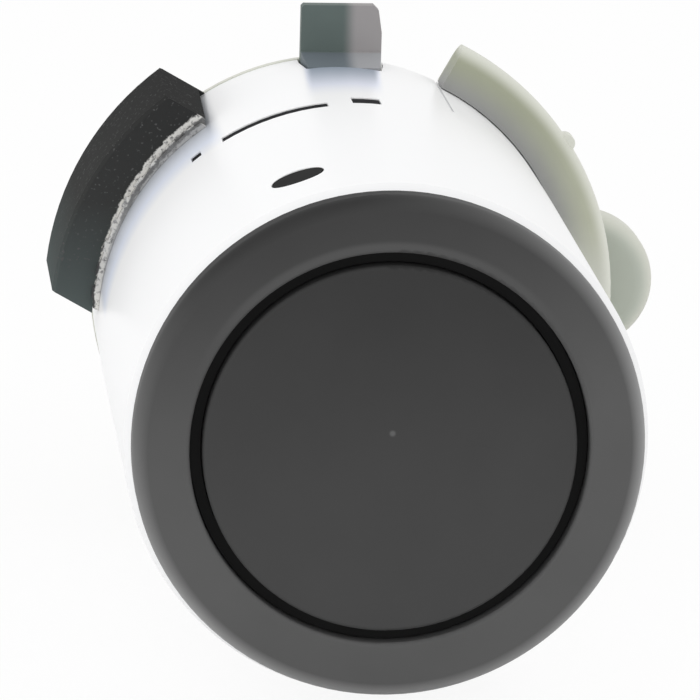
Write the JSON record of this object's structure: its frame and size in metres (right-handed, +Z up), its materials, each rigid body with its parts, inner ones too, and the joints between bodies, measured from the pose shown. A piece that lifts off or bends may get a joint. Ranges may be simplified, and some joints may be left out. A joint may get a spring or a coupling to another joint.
{
  "type": "parking sensor",
  "caption": "Round ultrasonic distance sensor with a flat membrane face, a smooth barrel, a rubber side pad, a key tab, a stop flange with a thumb lobe and a rear plug socket.",
  "frame": {"origin": "on the barrel's axis, at the front end of the barrel, where the face ring seats", "axes": "+Y runs along the axis from the face to the rear, +Z is up at the key tab, +X is to the right of someone who looks at the face"},
  "size_m": [0.0319, 0.0525, 0.0282],
  "materials": {
    "face_paint": "satin dark grey paint",
    "cup_paint": "satin dark grey paint on aluminium",
    "ceramic": "matte sintered ceramic",
    "absorber": "felt",
    "fill": "cast silicone",
    "black_silicone": "matte moulded silicone",
    "red_lead": "smooth",
    "black_lead": "smooth",
    "white_plastic": "glossy moulded",
    "black_rubber": "matte moulded, slightly speckled",
    "bare_metal": "bare sheet metal",
    "black_plastic": "moulded",
    "grey_plastic": "satin moulded",
    "board": "lacquered",
    "ferrite": "sintered",
    "coil": "enamelled copper wire",
    "can": "drawn can",
    "chip": "moulded",
    "chip_ceramic": "matte ceramic",
    "contact": "bright",
    "cream_plastic": "satin moulded"
  },
  "bodies": {
    "root": {"face_ring": "face_paint", "transducer_cup": "cup_paint", "piezo_disc": "ceramic", "absorber_pad": "absorber", "cup_plug": "fill", "decoupling_sleeve": "black_silicone", "signal_lead": "red_lead", "return_lead": "black_lead", "barrel": "white_plastic", "pad_plate": "bare_metal", "side_pad": "black_rubber", "snap_ring": "black_plastic", "inner_carrier": "grey_plastic", "circuit_board": "board", "transformer_core": "ferrite", "transformer_coil": "coil", "reservoir_capacitor": "can", "control_chip": "chip", "chip_capacitors": "chip_ceramic", "chip_resistors": "chip", "contact_pin_left": "contact", "contact_pin_middle": "contact", "contact_pin_right": "contact", "housing_seal": "black_silicone", "rear_housing": "cream_plastic"}
  },
  "joints": []
}
